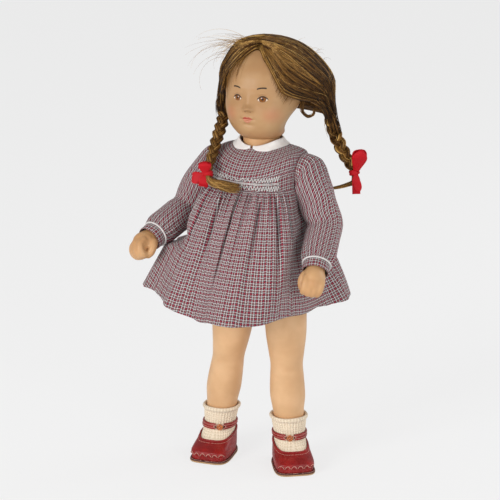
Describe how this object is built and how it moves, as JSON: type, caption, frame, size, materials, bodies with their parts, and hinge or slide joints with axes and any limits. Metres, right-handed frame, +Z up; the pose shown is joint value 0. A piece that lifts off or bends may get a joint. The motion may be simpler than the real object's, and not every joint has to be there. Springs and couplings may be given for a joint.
{
  "type": "vinyl doll",
  "caption": "Strung vinyl doll in a smocked check dress with braided hair, knit socks and strap shoes; head, arms and legs turn on elastic stringing.",
  "frame": {"origin": "middle of the overall box, on the floor under the soles", "axes": "+Z up, the doll faces -Y, its left side is +X"},
  "size_m": [0.1976, 0.1733, 0.4044],
  "materials": {
    "vinyl": "soft satin skin",
    "elastic": "covered round elastic",
    "toggle": "plain turned disc",
    "plaid_cloth": "fine woven check",
    "white_cloth": "plain weave",
    "smocking_thread": "embroidery thread",
    "hair": "combed fibre",
    "ribbon": "satin ribbon",
    "sock_knit": "rib knit",
    "shoe_leather": "polished",
    "sole_leather": "flat edge",
    "button": "gloss"
  },
  "bodies": {
    "torso": {"torso_shell": "vinyl", "arm_elastic": "elastic", "left_arm_toggle": "toggle", "right_arm_toggle": "toggle", "neck_elastic": "elastic", "neck_toggle": "toggle", "yoke": "plaid_cloth", "skirt": "plaid_cloth", "smocking_band": "smocking_thread", "left_collar": "white_cloth", "right_collar": "white_cloth"},
    "head": {"head_shell": "vinyl", "hair_cap": "hair", "left_braid": "hair", "right_braid": "hair", "left_ribbon": "ribbon", "right_ribbon": "ribbon"},
    "left_arm": {"left_arm": "vinyl", "left_sleeve": "plaid_cloth", "left_cuff": "plaid_cloth", "left_piping": "white_cloth"},
    "right_arm": {"right_arm": "vinyl", "right_sleeve": "plaid_cloth", "right_cuff": "plaid_cloth", "right_piping": "white_cloth"},
    "hip_bar": {"leg_elastic": "elastic", "left_leg_toggle": "toggle", "right_leg_toggle": "toggle"},
    "left_leg": {"left_leg": "vinyl", "left_sock": "sock_knit", "left_shoe_upper": "shoe_leather", "left_shoe_sole": "sole_leather", "left_shoe_strap": "shoe_leather", "left_strap_button": "button"},
    "right_leg": {"right_leg": "vinyl", "right_sock": "sock_knit", "right_shoe_upper": "shoe_leather", "right_shoe_sole": "sole_leather", "right_shoe_strap": "shoe_leather", "right_strap_button": "button"}
  },
  "joints": [
    {"name": "head_turn", "type": "hinge", "parent": "torso", "child": "head", "pos_m": [0.0074, 0.0147, 0.315], "axis": [0, 0, 1], "range_deg": [-40, 40], "deforming": ["left_braid", "right_braid", "left_ribbon", "right_ribbon"]},
    {"name": "left_arm_swing", "type": "hinge", "parent": "torso", "child": "left_arm", "pos_m": [0.0574, 0.0147, 0.283], "axis": [-1, 0, 0], "range_deg": [-22, 85]},
    {"name": "right_arm_swing", "type": "hinge", "parent": "torso", "child": "right_arm", "pos_m": [-0.0426, 0.0147, 0.283], "axis": [-1, 0, 0], "range_deg": [-8, 70]},
    {"name": "sit", "type": "hinge", "parent": "torso", "child": "hip_bar", "pos_m": [0.0074, 0.0127, 0.189], "axis": [-1, 0, 0], "range_deg": [0, 75], "deforming": ["skirt"]},
    {"name": "left_leg_step", "type": "hinge", "parent": "hip_bar", "child": "left_leg", "pos_m": [0.0329, 0.0127, 0.189], "axis": [-1, 0, 0], "range_deg": [-15, 15]},
    {"name": "right_leg_step", "type": "hinge", "parent": "hip_bar", "child": "right_leg", "pos_m": [-0.0181, 0.0127, 0.189], "axis": [-1, 0, 0], "range_deg": [-15, 15]}
  ]
}
